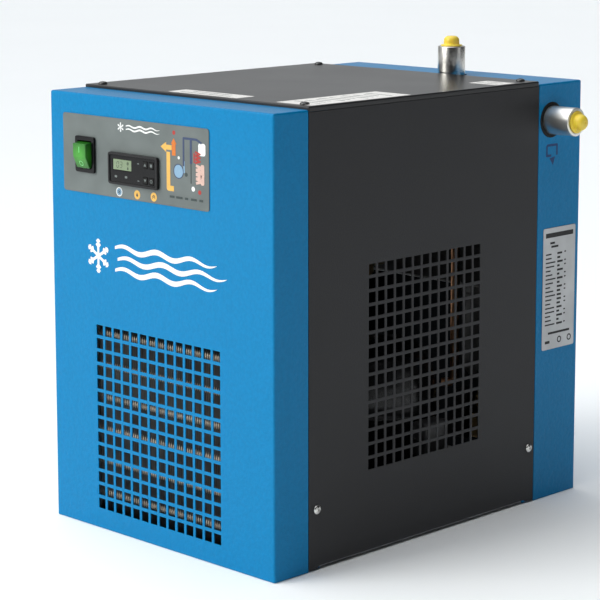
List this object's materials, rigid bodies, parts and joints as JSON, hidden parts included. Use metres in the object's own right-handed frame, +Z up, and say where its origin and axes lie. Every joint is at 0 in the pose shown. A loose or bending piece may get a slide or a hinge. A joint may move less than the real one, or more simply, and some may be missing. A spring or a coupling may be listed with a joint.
{
  "type": "refrigerated air dryer",
  "caption": "Box-shaped refrigerated compressed-air dryer with a control panel, perforated condenser and side grilles, and capped inlet and outlet sockets.",
  "frame": {"origin": "centre of the casing's underside, on the floor plane", "axes": "+Z up, +X to the right side seen from the front, +Y from the control panel towards the rear tray"},
  "size_m": [0.3729, 0.4951, 0.4926],
  "materials": {
    "blue_paint": "fine textured powder coat",
    "black_paint": "fine textured powder coat",
    "galvanised": "galvanised sheet",
    "bright_steel": "turned and zinc plated",
    "copper": "drawn copper tube",
    "brass": "machined",
    "aluminium": "mill finish",
    "black_plastic": "moulded",
    "rubber": "moulded",
    "foam": "closed-cell foam",
    "grey_film": "printed film",
    "silver_film": "printed plate",
    "green_lens": "translucent moulding",
    "yellow_plastic": "soft moulding",
    "display_window": "clear window over a display"
  },
  "bodies": {
    "casing": {"front_panel": "blue_paint", "rear_panel": "blue_paint", "top_cover": "black_paint", "right_side_panel": "black_paint", "left_side_panel": "black_paint", "base_plate": "galvanised", "side_screw_right_front": "bright_steel", "side_screw_right_rear": "bright_steel", "side_screw_left_front": "bright_steel", "side_screw_left_rear": "bright_steel", "cover_screw_right_front": "bright_steel", "cover_screw_right_rear": "bright_steel", "cover_screw_left_front": "bright_steel", "cover_screw_left_rear": "bright_steel", "control_decal": "grey_film", "rating_plate": "silver_film", "switch_housing": "black_plastic", "controller_housing": "black_plastic", "display_lens": "display_window", "condenser_core": "aluminium", "condenser_tube": "copper", "fan_shroud": "galvanised", "fan_motor": "black_plastic", "fan_bracket": "galvanised", "compressor_shell": "black_paint", "compressor_feet": "black_paint", "grommet_1": "rubber", "grommet_2": "rubber", "grommet_3": "rubber", "grommet_4": "rubber", "terminal_cover": "black_plastic", "heat_exchanger_core": "aluminium", "exchanger_insulation": "foam", "exchanger_support": "galvanised", "separator": "aluminium", "side_air_socket": "bright_steel", "top_air_socket": "bright_steel", "drain_ball_valve": "brass", "drain_solenoid": "brass", "drain_coil": "black_plastic", "drain_hose": "rubber", "drain_outlet": "brass", "cable_gland": "black_plastic", "junction_box": "black_plastic", "filter_drier": "copper", "capillary_tube": "copper", "suction_line": "copper", "discharge_line": "copper", "liquid_line": "copper", "bypass_line": "copper", "hot_gas_valve": "brass"},
    "rocker": {"switch_rocker": "green_lens"},
    "key_ul": {"key_upper_left": "rubber"},
    "key_ur": {"key_upper_right": "rubber"},
    "key_ll": {"key_lower_left": "rubber"},
    "key_lr": {"key_lower_right": "rubber"},
    "fan": {"fan_rotor": "aluminium"},
    "drain_handle": {"drain_lever": "bright_steel"},
    "side_plug": {"side_cap": "yellow_plastic"},
    "top_plug": {"top_cap": "yellow_plastic"}
  },
  "joints": [
    {"name": "power_rocker", "type": "hinge", "parent": "casing", "child": "rocker", "pos_m": [-0.1054, -0.234, 0.3886], "axis": [1, 0, 0], "range_deg": [-24, 0]},
    {"name": "key_upper_left_press", "type": "slide", "parent": "casing", "child": "key_ul", "axis": [0, 1, 0], "range_m": [0, 0.0006], "stiffness_N_per_m": 500},
    {"name": "key_upper_right_press", "type": "slide", "parent": "casing", "child": "key_ur", "axis": [0, 1, 0], "range_m": [0, 0.0006], "stiffness_N_per_m": 500},
    {"name": "key_lower_left_press", "type": "slide", "parent": "casing", "child": "key_ll", "axis": [0, 1, 0], "range_m": [0, 0.0006], "stiffness_N_per_m": 500},
    {"name": "key_lower_right_press", "type": "slide", "parent": "casing", "child": "key_lr", "axis": [0, 1, 0], "range_m": [0, 0.0006], "stiffness_N_per_m": 500},
    {"name": "fan_spin", "type": "hinge", "parent": "casing", "child": "fan", "pos_m": [-0.003, -0.178, 0.116], "axis": [0, 1, 0], "continuous": true},
    {"name": "drain_lever_turn", "type": "hinge", "parent": "casing", "child": "drain_handle", "pos_m": [0.1, 0.181, 0.09385], "axis": [1, 0, 0], "range_deg": [-90, 0]},
    {"name": "side_cap_pull", "type": "slide", "parent": "casing", "child": "side_plug", "axis": [1, 0, 0], "range_m": [0, 0.03]},
    {"name": "top_cap_pull", "type": "slide", "parent": "casing", "child": "top_plug", "axis": [0, 0, 1], "range_m": [0, 0.03]}
  ]
}
